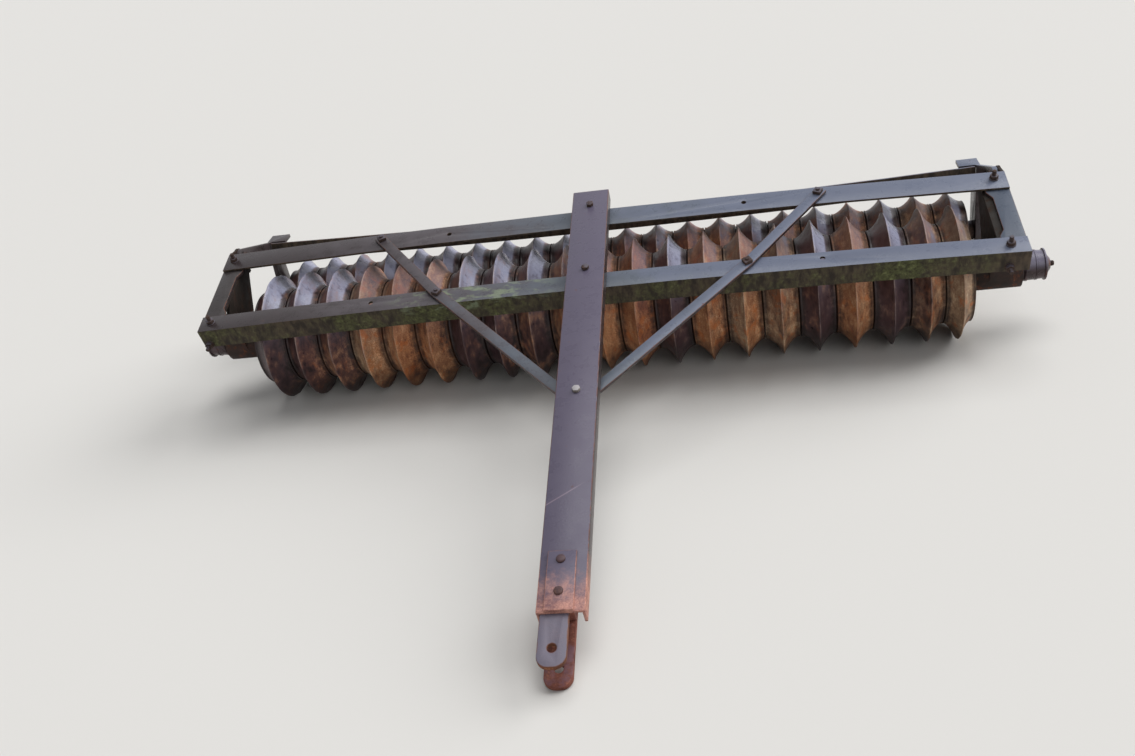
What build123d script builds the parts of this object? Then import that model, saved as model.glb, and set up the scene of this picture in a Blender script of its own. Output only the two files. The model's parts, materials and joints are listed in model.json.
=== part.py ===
"""Double-gang cultipacker, parked with its tongue down on the ground.

Two gangs of ridged cast wheels lie across the direction of travel, a large one under an
angle-iron frame and a small one in a trailing frame behind it, so that the rear ridges split
the furrows of the front ones. Millimetres, +X across the machine, +Y to the rear, +Z up, the
origin on the ground below the middle of the machine.
"""

import os
from math import asin, atan2, copysign, cos, degrees, hypot, radians, sin, sqrt

from build123d import *

# Fits
RUNNING = 0.1  # radial clearance of a shaft or pin in its hole
SEAT = 0.3  # end float between pieces that turn against each other
CLEAR = 6.0  # room round what moves

# Ridged wheels
WHEEL_PITCH = 101.6
RIM_GAP = 5.0
HUB_GAP = 0.4
HUB_RADIUS = 38.0
SPOKE_COUNT = 4
SPOKE_WIDTH = 46.0
SPOKE_THICKNESS = 15.0
SPOKE_SINK = 2.0  # into hub and rim
SPOKE_CLOCKING = 37.0  # each wheel of a gang has turned this much past its neighbour

FRONT_COUNT = 21
FRONT_RADIUS = 190.5
FRONT_RIDGE = 50.0
FRONT_SLACK = 24.0  # a full front gang could slide this far, and has slid to the right
NARROW_PITCHES = (92.0, 80.0)  # the last two front wheels on the right
REAR_COUNT = 22
REAR_RADIUS = 127.0
REAR_RIDGE = 34.0

# Shafts
FRONT_SHAFT_RADIUS = 22.2
REAR_SHAFT_RADIUS = 19.0
COLLAR_RADIUS = 30.0
FRONT_COLLAR = 14.0  # collar between the front gang and the right housing
REAR_COLLAR = 26.5  # collars between the rear gang and its arms

# Angle iron and the frame over the front gang, in the frame's own tilted directions
ANGLE_LEG = 63.5
ANGLE_WALL = 6.35
BACK_FLANGE = 76.2  # upper leg of the back rail, an unequal angle
BACK_UPRIGHT = 50.8  # and its upright leg
FRAME_DEPTH = 355.6
FRAME_TOP = 203.2  # top of both rails' ends above the front shaft
RAIL_RISE = 20.0  # both rails are bent up this much at their middle
SPARE_HOLE = 7.0
FRONT_SPARE_X = 637.0
BACK_SPARE_X = 440.0
SPARE_Y = 140.0

# Frame ends
END_BAR_THICKNESS = 9.5
END_BAR_DROP = 50.0
END_BAR_WIDTH = 51.0
GUSSET_WIDTH = 14.0
GUSSET_LENGTH = 26.0
GUSSET_REACH = 18.0
HANGER_WALL = 12.0
FLANGE_THICKNESS = 9.0
HANGER_SHOULDER = 22.0
HANGER_BACK = (160.0, 152.0)  # Y and Z where the web's back edge starts to slope in
HANGER_WAIST = (72.0, 46.0)  # where that edge meets the housing
HANGER_FRONT = (-62.0, 150.0)  # where the web's front edge turns down
HANGER_CROWN = -22.0  # front end of the web's top
HOUSING_RADIUS = 58.0
HOUSING_INSIDE = 24.6  # housing inside the web
HOUSING_OUTSIDE = 20.0  # housing past the rails' ends
RIGHT_WEB_INSET = 20.0  # the right web stands this much further in than the left one
HUB_CAP_RADIUS = 44.0
HUB_CAP_LENGTH = 60.0

# Tongue: a channel with its web up, and the strap on its end
TONGUE_X = -3.0
TONGUE_WIDTH = 106.0
TONGUE_HEIGHT = 41.3
TONGUE_WALL = 7.0
TONGUE_BACK = 218.0  # rear end behind the front shaft
TONGUE_FRONT = -1248.0  # front end
STRAP_X = -6.0
STRAP_WIDTH = 64.0
STRAP_LENGTH = 152.0
STRAP_THICKNESS = 8.0

# Clevis: two ears bolted against the left flange, and the block between them
EAR_WIDTH = 63.5
EAR_THICKNESS = 12.7
EAR_NOSE_RADIUS = 27.0
EAR_GAP = 68.0
EAR_ROOT = 165.0  # ears behind the tongue's end
HITCH_HOLE_RADIUS = 10.3
HITCH_REACH = 80.0  # hole in front of the tongue's end
HITCH_EDGE = 45.0  # ear beyond the hole
BLOCK_SETBACK = 35.0

# Braces: flat bars that bend at the front rail's bolt
BRACE_WIDTH = 31.75
BRACE_THICKNESS = 9.5
BRACE_FOOT_X = 650.0
BRACE_BEND_X = 437.0
BRACE_BOLT_Y = 140.0
BRACE_MEETING_Y = -608.0  # both braces' bolt through the tongue
BRACE_END = 20.0  # bar beyond the outermost bolts

# Trailing frame, in the ground's directions from the front shaft
REAR_SHAFT_Y = 415.0
REAR_RAIL_Y = 378.0
REAR_RAIL_TOP = 352.0
REAR_RAIL_RISE = -18.0  # it sags at its middle
PAD_WIDTH = 48.0
PAD_THICKNESS = 10.0
PIVOT_BACK = 38.0  # pivot behind the back rail's upright leg
PIVOT_DROP = 46.0  # pivot below the rails' top
PIVOT_RADIUS = 11.0
ARM_THICKNESS = 14.0
ARM_END_RADIUS = 30.0
ARM_ELBOW_RADIUS = 34.0
ARM_HUB_RADIUS = 48.0
BRACKET_WALL = 9.5

# Places across the machine
FRONT_GANG_END = FRONT_COUNT * WHEEL_PITCH / 2
REAR_GANG_END = REAR_COUNT * WHEEL_PITCH / 2
FRONT_SHIFT = FRONT_SLACK / 2
HOUSING_X = FRONT_GANG_END + FRONT_SHIFT + FRONT_COLLAR
HANGER_X = HOUSING_X + HOUSING_INSIDE
FRAME_HALF = HANGER_X + END_BAR_WIDTH
HOUSING_END_X = FRAME_HALF + HOUSING_OUTSIDE
ARM_X = REAR_GANG_END + REAR_COLLAR
FRONT_PITCHES = (WHEEL_PITCH,) * (FRONT_COUNT - len(NARROW_PITCHES)) + NARROW_PITCHES
REAR_PITCHES = (WHEEL_PITCH,) * REAR_COUNT
FRONT_LEFT_X = FRONT_SHIFT - FRONT_GANG_END
FRONT_RIGHT_X = FRONT_LEFT_X + sum(FRONT_PITCHES)

# The nose of the lower ear rests on the ground, which sets the tilt
TONGUE_BASE = FRAME_TOP + RAIL_RISE
EAR_NOSE_Y = TONGUE_FRONT - HITCH_REACH - HITCH_EDGE
UPPER_EAR_TOP = TONGUE_BASE + TONGUE_HEIGHT - TONGUE_WALL
UPPER_EAR_BASE = UPPER_EAR_TOP - EAR_THICKNESS
LOWER_EAR_TOP = UPPER_EAR_BASE - EAR_GAP
LOWER_EAR_BASE = LOWER_EAR_TOP - EAR_THICKNESS
NOSE_DISTANCE = hypot(EAR_NOSE_Y, LOWER_EAR_BASE)
TILT = asin(FRONT_RADIUS / NOSE_DISTANCE) + atan2(LOWER_EAR_BASE, -EAR_NOSE_Y)

# The origin is halfway between the clevis nose and the back of the rear wheels
FOREMOST = EAR_NOSE_Y * cos(TILT) - UPPER_EAR_TOP * sin(TILT)
REARMOST = REAR_SHAFT_Y + REAR_RADIUS
FRONT_SHAFT_Y = -(FOREMOST + REARMOST) / 2

FRAME = Plane(
    origin=(0, FRONT_SHAFT_Y, FRONT_RADIUS),
    x_dir=(1, 0, 0),
    z_dir=(0, -sin(TILT), cos(TILT)),
)
LEVEL = Plane(origin=(0, FRONT_SHAFT_Y, 0), x_dir=(1, 0, 0), z_dir=(0, 0, 1))

SIDES = (("left", -1), ("right", 1))

# Ends of the front gang, as distances from the middle
# side, way outward, gang's end, housing's inner end, web's inner face
ENDS = (
    ("left", -1, -FRONT_LEFT_X, HOUSING_X, HANGER_X),
    ("right", 1, FRONT_RIGHT_X, FRONT_RIGHT_X + FRONT_COLLAR, HANGER_X - RIGHT_WEB_INSET),
)


def upright(base, x):
    """The plane across the machine at x, with the base plane's Y and Z as its own axes."""
    origin = base.from_local_coords((x, 0, 0))
    return Plane(origin=origin, x_dir=base.y_dir, z_dir=base.x_dir)


def write(builder, name):
    """Label a finished piece and write it under the same name."""
    builder.part.label = name
    export_step(builder.part, f"parts/{name}.step")


def angle_profile(y, corner, inward, up, flange, upright_leg):
    """Outline of an angle iron from its outer corner: one leg inward, the other up or down."""
    leg = inward * flange
    wall = inward * ANGLE_WALL
    return [
        (y, corner),
        (y + leg, corner),
        (y + leg, corner + up * ANGLE_WALL),
        (y + wall, corner + up * ANGLE_WALL),
        (y + wall, corner + up * upright_leg),
        (y, corner + up * upright_leg),
    ]


def bend_radius(half, rise):
    """Radius of the circle through two ends and a middle that lies rise higher."""
    return (half**2 + rise**2) / (2 * rise)


def rail_top(x):
    """Height of the bent rails' top above the front shaft at x."""
    bend = bend_radius(FRAME_HALF, RAIL_RISE)
    return FRAME_TOP + RAIL_RISE - bend + sqrt(bend**2 - x**2)


def bent_rail(base, y, corner, inward, up, half, rise, flange=ANGLE_LEG, upright_leg=ANGLE_LEG):
    """An angle iron across the machine whose middle lies rise higher than its ends."""
    bend = bend_radius(half, rise)
    centre = base.from_local_coords((0, 0, corner + rise - bend))
    outward = (base.x_dir * -half + base.z_dir * (bend - rise)) * (1 / bend)
    with BuildPart() as rail:
        with BuildSketch(Plane(origin=centre, x_dir=base.y_dir, z_dir=base.y_dir.cross(outward))):
            with BuildLine():
                Polyline(angle_profile(y, bend, inward, up, flange, upright_leg), close=True)
            make_face()
        around = Axis(origin=centre, direction=base.y_dir * copysign(1, rise))
        revolve(axis=around, revolution_arc=degrees(2 * asin(half / abs(bend))))
    return rail.part


def ridged_wheel(pitch, radius, ridge, bore):
    """One wheel about the origin: hub, rim with its ridge, and spokes."""
    root = radius - ridge
    rim_half = (pitch - RIM_GAP) / 2
    with BuildPart() as wheel:
        with BuildSketch(Plane.XY):
            with Locations((0, (HUB_RADIUS + bore) / 2)):
                Rectangle(pitch - HUB_GAP, HUB_RADIUS - bore)
            with BuildLine():
                Polyline((-rim_half, root), (0, radius), (rim_half, root), close=True)
            make_face()
        revolve(axis=Axis.X)
        for spoke in range(SPOKE_COUNT):
            turn = radians(spoke * 360 / SPOKE_COUNT)
            outward = Vector(0, cos(turn), sin(turn))
            foot = outward * (HUB_RADIUS - SPOKE_SINK)
            with BuildSketch(Plane(origin=foot, x_dir=(1, 0, 0), z_dir=outward)):
                Rectangle(SPOKE_WIDTH, SPOKE_THICKNESS)
        extrude(amount=root - HUB_RADIUS + 2 * SPOKE_SINK)
    return wheel.part


os.makedirs("parts", exist_ok=True)


# Gangs of wheels
# name, pitches from the left, left end's X, crest radius, ridge height, shaft radius, shaft's Y
GANGS = (
    ("front", FRONT_PITCHES, FRONT_LEFT_X, FRONT_RADIUS, FRONT_RIDGE, FRONT_SHAFT_RADIUS, 0.0),
    ("rear", REAR_PITCHES, -REAR_GANG_END, REAR_RADIUS, REAR_RIDGE, REAR_SHAFT_RADIUS, REAR_SHAFT_Y),
)
for gang, pitches, left_x, radius, ridge, shaft_radius, shaft_y in GANGS:
    castings = {pitch: ridged_wheel(pitch, radius, ridge, shaft_radius + RUNNING) for pitch in set(pitches)}
    with BuildPart() as wheels:
        for index, pitch in enumerate(pitches):
            x = left_x + sum(pitches[:index]) + pitch / 2
            turned = (index * SPOKE_CLOCKING, 0, 0)
            with Locations(Location((x, FRONT_SHAFT_Y + shaft_y, radius), turned)):
                add(castings[pitch])
    write(wheels, f"{gang}_wheels")


# Front shaft, its collars and the turned end pieces outside the frame
CAP_X = HOUSING_END_X + 8.0
CAP_END_X = CAP_X + HUB_CAP_LENGTH
CAP_WALL = 8.0
LIP_RADIUS = 45.0
LIP_LENGTH = 5.0
CONE_RADIUS = 18.0
CONE_LENGTH = 14.0
STUD_RADIUS = 8.0
STUD_TIP_X = CAP_END_X + CONE_LENGTH + 12.0
SHAFT_END_X = CAP_END_X - CAP_WALL - SEAT

with BuildPart() as front_shaft:
    with BuildSketch(upright(FRAME, -SHAFT_END_X)):
        Circle(FRONT_SHAFT_RADIUS)
    extrude(amount=2 * SHAFT_END_X)
    with BuildSketch(upright(FRAME, -STUD_TIP_X)):
        Circle(STUD_RADIUS)
    extrude(amount=2 * STUD_TIP_X)
    tips = front_shaft.faces().filter_by(Axis.X).sort_by(Axis.X)
    chamfer((tips[0].edges(), tips[-1].edges()), 2.0)
write(front_shaft, "front_shaft")

with BuildPart() as front_collars:
    for side, sign, gang_end, housing_x, web_x in ENDS:
        with BuildSketch(upright(FRAME, sign * (gang_end + SEAT))):
            Circle(COLLAR_RADIUS)
            Circle(FRONT_SHAFT_RADIUS + RUNNING, mode=Mode.SUBTRACT)
        extrude(amount=sign * (housing_x - gang_end - 2 * SEAT))
write(front_collars, "front_collars")

with BuildPart() as front_hub_caps:
    for side, sign in SIDES:
        with BuildSketch(FRAME.rotated((90, 0, 0))):
            with BuildLine():
                Polyline(
                    (sign * (HOUSING_END_X + SEAT), FRONT_SHAFT_RADIUS + RUNNING),
                    (sign * (HOUSING_END_X + SEAT), HUB_CAP_RADIUS - CAP_WALL),
                    (sign * CAP_X, HUB_CAP_RADIUS - CAP_WALL),
                    (sign * CAP_X, HUB_CAP_RADIUS),
                    (sign * (CAP_END_X - LIP_LENGTH), HUB_CAP_RADIUS - 2),
                    (sign * (CAP_END_X - LIP_LENGTH), LIP_RADIUS),
                    (sign * CAP_END_X, LIP_RADIUS),
                    (sign * CAP_END_X, LIP_RADIUS - CAP_WALL),
                    (sign * (CAP_END_X + CONE_LENGTH), CONE_RADIUS),
                    (sign * (CAP_END_X + CONE_LENGTH), STUD_RADIUS + RUNNING),
                    (sign * (CAP_END_X - CAP_WALL), STUD_RADIUS + RUNNING),
                    (sign * (CAP_END_X - CAP_WALL), FRONT_SHAFT_RADIUS + RUNNING),
                    close=True,
                )
            make_face()
        revolve(axis=Axis(origin=FRAME.origin, direction=(1, 0, 0)))
write(front_hub_caps, "front_hub_caps")


# Frame over the front gang: two angle-iron rails and the two end bars below them
# name, way to the back, spare bolt hole's X, upper leg, upright leg
RAILS = (
    ("front_rail", -1, FRONT_SPARE_X, ANGLE_LEG, ANGLE_LEG),
    ("back_rail", 1, BACK_SPARE_X, BACK_FLANGE, BACK_UPRIGHT),
)
for name, back, spare_x, flange, leg in RAILS:
    rail_y = back * FRAME_DEPTH / 2
    angle_iron = bent_rail(FRAME, rail_y, FRAME_TOP, -back, -1, FRAME_HALF, RAIL_RISE, flange, leg)
    with BuildPart() as rail:
        add(angle_iron)
        with BuildSketch(FRAME.offset(FRAME_TOP + RAIL_RISE)):
            with Locations((-spare_x, back * SPARE_Y), (spare_x, back * SPARE_Y)):
                Circle(SPARE_HOLE)
        extrude(amount=-RAIL_RISE - ANGLE_WALL, mode=Mode.SUBTRACT)
    write(rail, name)

BAR_TOP = FRAME_TOP - ANGLE_WALL
BAR_REACH = FRAME_DEPTH / 2 - ANGLE_WALL
BAR_INNER_X = FRAME_HALF - END_BAR_WIDTH
CORNER_X = BAR_INNER_X - GUSSET_WIDTH
CORNER_Y = FRAME_DEPTH / 2 - ANGLE_LEG - GUSSET_REACH
HANGER_TOP = BAR_TOP - END_BAR_THICKNESS
LUG_BASE = FRAME_TOP - ANGLE_LEG
for side, sign, gang_end, housing_x, web_x in ENDS:
    outer = sign * FRAME_HALF
    inner = sign * BAR_INNER_X
    corner = sign * CORNER_X
    with BuildPart() as end_bar:
        with BuildSketch(FRAME.offset(BAR_TOP)):
            with BuildLine():
                Polyline(
                    (outer, -BAR_REACH),
                    (outer, BAR_REACH),
                    (corner, BAR_REACH),
                    (corner, CORNER_Y),
                    (inner, CORNER_Y - GUSSET_LENGTH),
                    (inner, -CORNER_Y + GUSSET_LENGTH),
                    (corner, -CORNER_Y),
                    (corner, -BAR_REACH),
                    close=True,
                )
            make_face()
        extrude(amount=-END_BAR_THICKNESS)
        with BuildSketch(FRAME.offset(BAR_TOP)):
            with Locations((outer - sign * END_BAR_THICKNESS / 2, 0)):
                Rectangle(END_BAR_THICKNESS, 2 * BAR_REACH)
        extrude(amount=-END_BAR_DROP)
    write(end_bar, f"end_bar_{side}")

    # Hanger below the bar: a flange, a web that leans back, the shaft's housing and two lugs
    lug_length = FRAME_HALF - END_BAR_THICKNESS - web_x
    lug_x = sign * (web_x + lug_length / 2)
    housing_length = HOUSING_END_X - housing_x
    with BuildPart() as hanger:
        with BuildSketch(upright(FRAME, sign * web_x)):
            with BuildLine():
                Polyline(
                    (HANGER_CROWN, HANGER_TOP),
                    (BAR_REACH, HANGER_TOP),
                    (BAR_REACH, HANGER_TOP - HANGER_SHOULDER),
                    HANGER_BACK,
                    HANGER_WAIST,
                    (HOUSING_RADIUS, 0),
                    (-HOUSING_RADIUS, 0),
                    HANGER_FRONT,
                    close=True,
                )
            make_face()
        extrude(amount=sign * HANGER_WALL)
        with BuildSketch(upright(FRAME, sign * housing_x)):
            Circle(HOUSING_RADIUS)
        extrude(amount=sign * housing_length)
        with BuildSketch(FRAME.offset(HANGER_TOP)):
            with Locations((lug_x, 0)):
                Rectangle(lug_length, 2 * BAR_REACH)
        extrude(amount=-FLANGE_THICKNESS)
        with BuildSketch(FRAME.offset(HANGER_TOP)):
            for end in (-1, 1):
                with Locations((lug_x, end * (BAR_REACH - HANGER_WALL / 2))):
                    Rectangle(lug_length, HANGER_WALL)
        extrude(amount=LUG_BASE - HANGER_TOP)
        with BuildSketch(upright(FRAME, sign * housing_x)):
            Circle(FRONT_SHAFT_RADIUS + RUNNING)
        extrude(amount=sign * housing_length, mode=Mode.SUBTRACT)
    write(hanger, f"end_hanger_{side}")


# Tongue: channel, strap on its end and the two ears of the clevis
with BuildPart() as tongue:
    with BuildSketch(FRAME.offset(TONGUE_BASE)):
        with Locations((TONGUE_X, (TONGUE_BACK + TONGUE_FRONT) / 2)):
            Rectangle(TONGUE_WIDTH, TONGUE_BACK - TONGUE_FRONT)
    extrude(amount=TONGUE_HEIGHT)
    with BuildSketch(FRAME.offset(TONGUE_BASE)):
        with Locations((TONGUE_X, (TONGUE_BACK + TONGUE_FRONT) / 2)):
            Rectangle(TONGUE_WIDTH - 2 * TONGUE_WALL, TONGUE_BACK - TONGUE_FRONT)
    extrude(amount=TONGUE_HEIGHT - TONGUE_WALL, mode=Mode.SUBTRACT)
write(tongue, "tongue")

with BuildPart() as hitch_strap:
    with BuildSketch(FRAME.offset(TONGUE_BASE + TONGUE_HEIGHT)):
        with Locations((STRAP_X, TONGUE_FRONT + STRAP_LENGTH / 2)):
            Rectangle(STRAP_WIDTH, STRAP_LENGTH)
    extrude(amount=STRAP_THICKNESS)
write(hitch_strap, "hitch_strap")

HITCH_Y = TONGUE_FRONT - HITCH_REACH
CLEVIS_X = TONGUE_X - TONGUE_WIDTH / 2 + TONGUE_WALL + SEAT + EAR_WIDTH / 2
EARS = (
    ("clevis_upper", UPPER_EAR_BASE),
    ("clevis_lower", LOWER_EAR_BASE),
)
for name, base in EARS:
    with BuildPart() as ear:
        with BuildSketch(FRAME.offset(base)):
            with Locations((CLEVIS_X, (TONGUE_FRONT + EAR_ROOT + EAR_NOSE_Y) / 2)):
                outline = Rectangle(EAR_WIDTH, TONGUE_FRONT + EAR_ROOT - EAR_NOSE_Y)
            fillet(outline.vertices().sort_by(Axis.Y)[:2], EAR_NOSE_RADIUS)
            with Locations((CLEVIS_X, HITCH_Y)):
                Circle(HITCH_HOLE_RADIUS, mode=Mode.SUBTRACT)
        extrude(amount=EAR_THICKNESS)
    write(ear, name)

with BuildPart() as clevis_block:
    with BuildSketch(FRAME.offset(LOWER_EAR_TOP)):
        with Locations((CLEVIS_X, TONGUE_FRONT + (BLOCK_SETBACK + EAR_ROOT) / 2)):
            Rectangle(EAR_WIDTH, EAR_ROOT - BLOCK_SETBACK)
    extrude(amount=EAR_GAP)
write(clevis_block, "clevis_block")


# Braces: flat bars on both rails, bent in to the tongue, where they lie one under the other
FRONT_EDGE_Y = ANGLE_LEG - FRAME_DEPTH / 2
BACK_EDGE_Y = FRAME_DEPTH / 2 - BACK_FLANGE
REST = 10.0  # flat stretch of a brace before and after what it rests on
FOOT = Vector(BRACE_FOOT_X, BRACE_BOLT_Y)
BEND = Vector(BRACE_BEND_X, -BRACE_BOLT_Y)
MEETING = Vector(TONGUE_X, BRACE_MEETING_Y)
BACK_LEVEL = rail_top(BRACE_FOOT_X - 2 * BRACE_WIDTH)
FRONT_LEVEL = rail_top(BRACE_BEND_X - 2 * BRACE_WIDTH)


def brace_stations(sign, base):
    """Middle of the bar's underside and its heading, from the foot to below the tongue."""
    foot = Vector(sign * FOOT.X, FOOT.Y)
    bend = Vector(sign * BEND.X, BEND.Y)
    first = (bend - foot).normalized()
    second = (MEETING - bend).normalized()
    # start of the run, its heading, Y of the station, height of the underside
    table = (
        (foot, first, foot.Y - first.Y * BRACE_END, BACK_LEVEL),
        (foot, first, BACK_EDGE_Y - REST, BACK_LEVEL),
        (foot, first, FRONT_EDGE_Y + REST, FRONT_LEVEL),
        (bend, (first + second).normalized(), bend.Y, FRONT_LEVEL),
        (bend, second, -FRAME_DEPTH / 2 - REST, FRONT_LEVEL),
        (bend, second, BRACE_MEETING_Y + TONGUE_WIDTH, base),
        (bend, second, BRACE_MEETING_Y + second.Y * BRACE_END, base),
    )
    return [(run + way * ((y - run.Y) / way.Y), way, level) for run, way, y, level in table]


for layer, (side, sign) in enumerate(reversed(SIDES), 1):
    with BuildPart() as brace:
        for at, way, level in brace_stations(sign, TONGUE_BASE - layer * BRACE_THICKNESS):
            middle = FRAME.from_local_coords((at.X, at.Y, level + BRACE_THICKNESS / 2))
            heading = FRAME.x_dir * way.X + FRAME.y_dir * way.Y
            across = heading.cross(FRAME.z_dir)
            with BuildSketch(Plane(origin=middle, x_dir=across, z_dir=heading)):
                Rectangle(BRACE_WIDTH, BRACE_THICKNESS)
        loft(ruled=True)
    write(brace, f"brace_{side}")


# Trailing frame: brackets and pins behind the back rail, cranked arms, rail, shaft
PIVOT_Y = FRAME_DEPTH / 2 + PIVOT_BACK
PIVOT_Z = FRAME_TOP - PIVOT_DROP
PIVOT = FRAME.from_local_coords((0, PIVOT_Y, PIVOT_Z))
PIVOT_AT = (PIVOT.Y - FRONT_SHAFT_Y, PIVOT.Z)
REAR_SHAFT_AT = (REAR_SHAFT_Y, REAR_RADIUS)
ELBOW_AT = (REAR_SHAFT_Y, REAR_RAIL_TOP - PAD_THICKNESS - ARM_ELBOW_RADIUS)
BRACKET_X = ARM_X + ARM_THICKNESS + SEAT
PIN_HEAD = 8.0

with BuildPart() as pivot_brackets:
    for side, sign in SIDES:
        with BuildSketch(upright(FRAME, sign * BRACKET_X)):
            with Locations((PIVOT_Y, PIVOT_Z)):
                Circle(PIVOT_BACK - CLEAR)
            with BuildLine():
                Polyline(
                    (FRAME_DEPTH / 2, FRAME_TOP),
                    (FRAME_DEPTH / 2, FRAME_TOP - BACK_UPRIGHT),
                    (PIVOT_Y, PIVOT_Z - PIVOT_BACK + CLEAR),
                    (PIVOT_Y, PIVOT_Z + PIVOT_BACK - CLEAR),
                    close=True,
                )
            make_face()
            with Locations((PIVOT_Y, PIVOT_Z)):
                Circle(PIVOT_RADIUS, mode=Mode.SUBTRACT)
        extrude(amount=sign * BRACKET_WALL)
write(pivot_brackets, "pivot_brackets")

with BuildPart() as pivot_pins:
    for side, sign in SIDES:
        with BuildSketch(upright(FRAME, sign * (ARM_X - PIN_HEAD))):
            with Locations((PIVOT_Y, PIVOT_Z)):
                Circle(PIVOT_RADIUS)
        extrude(amount=sign * (BRACKET_X + BRACKET_WALL - ARM_X + PIN_HEAD))
        with BuildSketch(upright(FRAME, sign * (ARM_X - SEAT))):
            with Locations((PIVOT_Y, PIVOT_Z)):
                Circle(PIVOT_RADIUS + PIN_HEAD)
        extrude(amount=sign * (SEAT - PIN_HEAD))
write(pivot_pins, "pivot_pins")


def link_outline(first, first_radius, second, second_radius):
    """Flat link: two round ends joined by their common tangents."""
    with BuildSketch() as outline:
        with Locations(first):
            Circle(first_radius)
        with Locations(second):
            Circle(second_radius)
        make_hull()
    return outline.sketch


ELBOW_TOP = ELBOW_AT[1] + ARM_ELBOW_RADIUS
for side, sign in SIDES:
    with BuildPart() as arm:
        with BuildSketch(upright(LEVEL, sign * ARM_X)):
            add(link_outline(PIVOT_AT, ARM_END_RADIUS, ELBOW_AT, ARM_ELBOW_RADIUS))
            add(link_outline(ELBOW_AT, ARM_ELBOW_RADIUS, REAR_SHAFT_AT, ARM_HUB_RADIUS))
            with Locations((REAR_SHAFT_Y, ELBOW_TOP + PAD_THICKNESS / 2 - ARM_ELBOW_RADIUS / 2)):
                Rectangle(2 * ARM_ELBOW_RADIUS, PAD_THICKNESS + ARM_ELBOW_RADIUS)
        extrude(amount=sign * ARM_THICKNESS)
        with BuildSketch(upright(LEVEL, sign * ARM_X)):
            with Locations(REAR_SHAFT_AT):
                Circle(ARM_HUB_RADIUS)
        extrude(amount=sign * 2 * ARM_THICKNESS)
        with BuildSketch(upright(LEVEL, sign * ARM_X)):
            with Locations((REAR_SHAFT_Y + ANGLE_WALL, REAR_RAIL_TOP - PAD_THICKNESS / 2)):
                Rectangle(2 * ARM_ELBOW_RADIUS - 2 * ANGLE_WALL, PAD_THICKNESS)
        extrude(amount=-sign * PAD_WIDTH)
        with BuildSketch(upright(LEVEL, sign * ARM_X)):
            with Locations(PIVOT_AT):
                Circle(PIVOT_RADIUS + RUNNING)
            with Locations(REAR_SHAFT_AT):
                Circle(REAR_SHAFT_RADIUS + RUNNING)
        extrude(amount=sign * 2 * ARM_THICKNESS, mode=Mode.SUBTRACT)
    write(arm, f"rear_arm_{side}")

with BuildPart() as rear_collars:
    for side, sign in SIDES:
        with BuildSketch(upright(LEVEL, sign * (REAR_GANG_END + SEAT))):
            with Locations(REAR_SHAFT_AT):
                Circle(COLLAR_RADIUS)
                Circle(REAR_SHAFT_RADIUS + RUNNING, mode=Mode.SUBTRACT)
        extrude(amount=sign * (REAR_COLLAR - 2 * SEAT))
write(rear_collars, "rear_collars")

REAR_RAIL_BASE = REAR_RAIL_TOP - ANGLE_LEG
REAR_ANGLE_IRON = bent_rail(LEVEL, REAR_RAIL_Y, REAR_RAIL_BASE, 1, 1, ARM_X, REAR_RAIL_RISE)
with BuildPart() as rear_rail:
    add(REAR_ANGLE_IRON)
write(rear_rail, "rear_rail")

REAR_SHAFT_END = ARM_X + 2 * ARM_THICKNESS + 24.0
with BuildPart() as rear_shaft:
    with BuildSketch(upright(LEVEL, -REAR_SHAFT_END)):
        with Locations(REAR_SHAFT_AT):
            Circle(REAR_SHAFT_RADIUS)
    extrude(amount=2 * REAR_SHAFT_END)
write(rear_shaft, "rear_shaft")

hitch = FRAME.from_local_coords((CLEVIS_X, HITCH_Y, (UPPER_EAR_TOP + LOWER_EAR_BASE) / 2))
print("tilt", round(degrees(TILT), 4), "front shaft y", round(FRONT_SHAFT_Y, 3))
print("hitch", hitch, "pivot", PIVOT)
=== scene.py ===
"""Dress of a parked double-gang cultipacker: cast wheels, rolled steel, hubs, bolts and studio."""

import json
import logging
import math
from dataclasses import dataclass
from enum import Enum

import bmesh
import bpy
from bmesh.types import BMesh
from bpy.types import Material, Mesh, NodeTree, Object
from mathutils import Matrix, Vector


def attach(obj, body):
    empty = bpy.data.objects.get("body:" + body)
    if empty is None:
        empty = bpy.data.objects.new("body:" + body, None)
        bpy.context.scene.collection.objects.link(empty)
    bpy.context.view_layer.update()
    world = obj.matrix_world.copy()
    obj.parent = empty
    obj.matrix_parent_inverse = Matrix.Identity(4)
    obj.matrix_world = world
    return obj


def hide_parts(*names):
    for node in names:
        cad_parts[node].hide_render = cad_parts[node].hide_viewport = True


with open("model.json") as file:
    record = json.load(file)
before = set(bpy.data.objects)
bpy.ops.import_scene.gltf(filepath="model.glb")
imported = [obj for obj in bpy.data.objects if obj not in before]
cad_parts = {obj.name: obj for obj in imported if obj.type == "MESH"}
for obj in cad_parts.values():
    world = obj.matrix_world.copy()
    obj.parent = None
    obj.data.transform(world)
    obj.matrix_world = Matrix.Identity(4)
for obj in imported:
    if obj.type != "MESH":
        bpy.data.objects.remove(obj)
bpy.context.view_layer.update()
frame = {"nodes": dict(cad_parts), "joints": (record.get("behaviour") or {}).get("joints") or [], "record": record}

LOG = logging.getLogger("cultipacker")
MM = 0.001
PHOTO_WIDTH = 1135
SENSOR_WIDTH = 36.0

# Inputs and output of Blender's mix node for colours, by number
MIX_SHARE, MIX_BELOW, MIX_ABOVE, MIX_RESULT = 0, 6, 7, 2

Socket = bpy.types.NodeSocket
Profile = list[tuple[float, float]]


class Body(Enum):
    """What a piece moves with."""

    FRAME = "frame"
    FRONT_GANG = "front_gang"
    REAR_FRAME = "rear_frame"
    REAR_GANG = "rear_gang"


class Slot(Enum):
    """A kind of finish that a piece is listed under."""

    WEATHERED = "weathered_steel"
    RUSTY = "rusty_steel"
    CAST = "cast_iron"


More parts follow.
